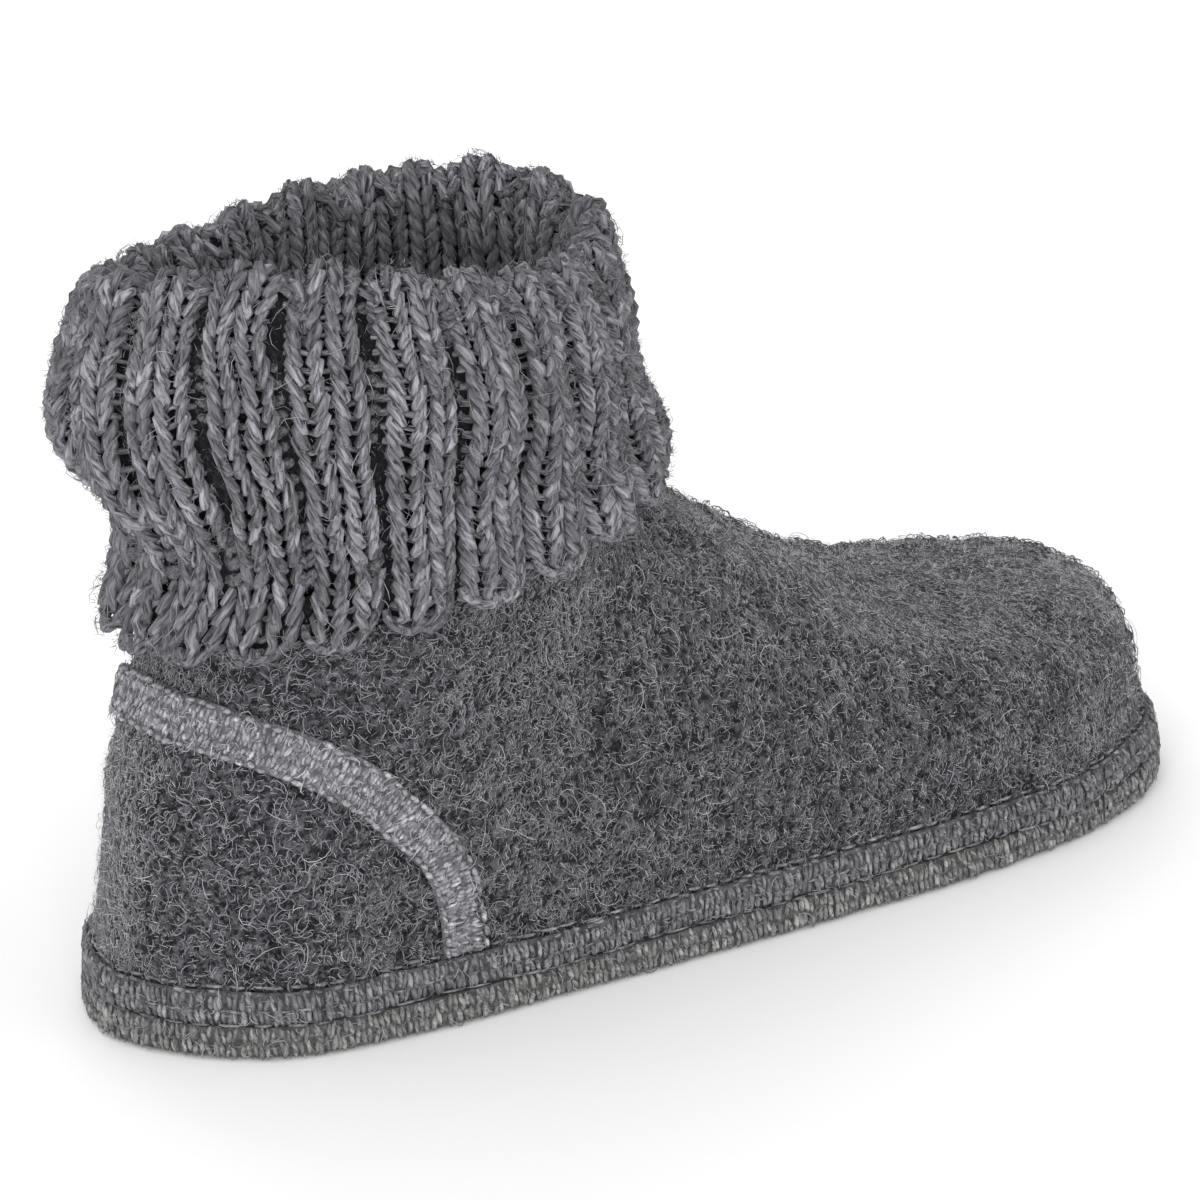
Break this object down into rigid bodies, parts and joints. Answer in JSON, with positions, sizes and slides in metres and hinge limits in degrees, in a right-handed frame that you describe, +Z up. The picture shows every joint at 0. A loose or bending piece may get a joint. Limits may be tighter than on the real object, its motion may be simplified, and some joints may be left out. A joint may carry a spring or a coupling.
{
  "type": "slipper",
  "caption": "Ankle-high felt house slipper for the right foot with a turned-down rib-knit cuff, a knitted heel tape and a knit-bound felt sole.",
  "frame": {"origin": "middle of the whole slipper's box, on the floor", "axes": "+X from heel to toe, +Z up, the outer side of the right foot on -Y"},
  "size_m": [0.271, 0.1014, 0.1539],
  "materials": {
    "upper": "grey melange boiled-wool felt",
    "cuff": "grey melange wool rib knit",
    "counter_tape": "light grey knitted tape",
    "binding": "light grey knitted tape",
    "sole_tape": "dark grey knitted tape",
    "sole": "dark pressed wool felt",
    "insole": "light grey wool felt"
  },
  "bodies": {
    "root": {"upper": "upper", "cuff": "cuff", "counter_tape": "counter_tape", "binding": "binding", "sole_tape": "sole_tape", "sole": "sole", "insole": "insole"}
  },
  "joints": []
}
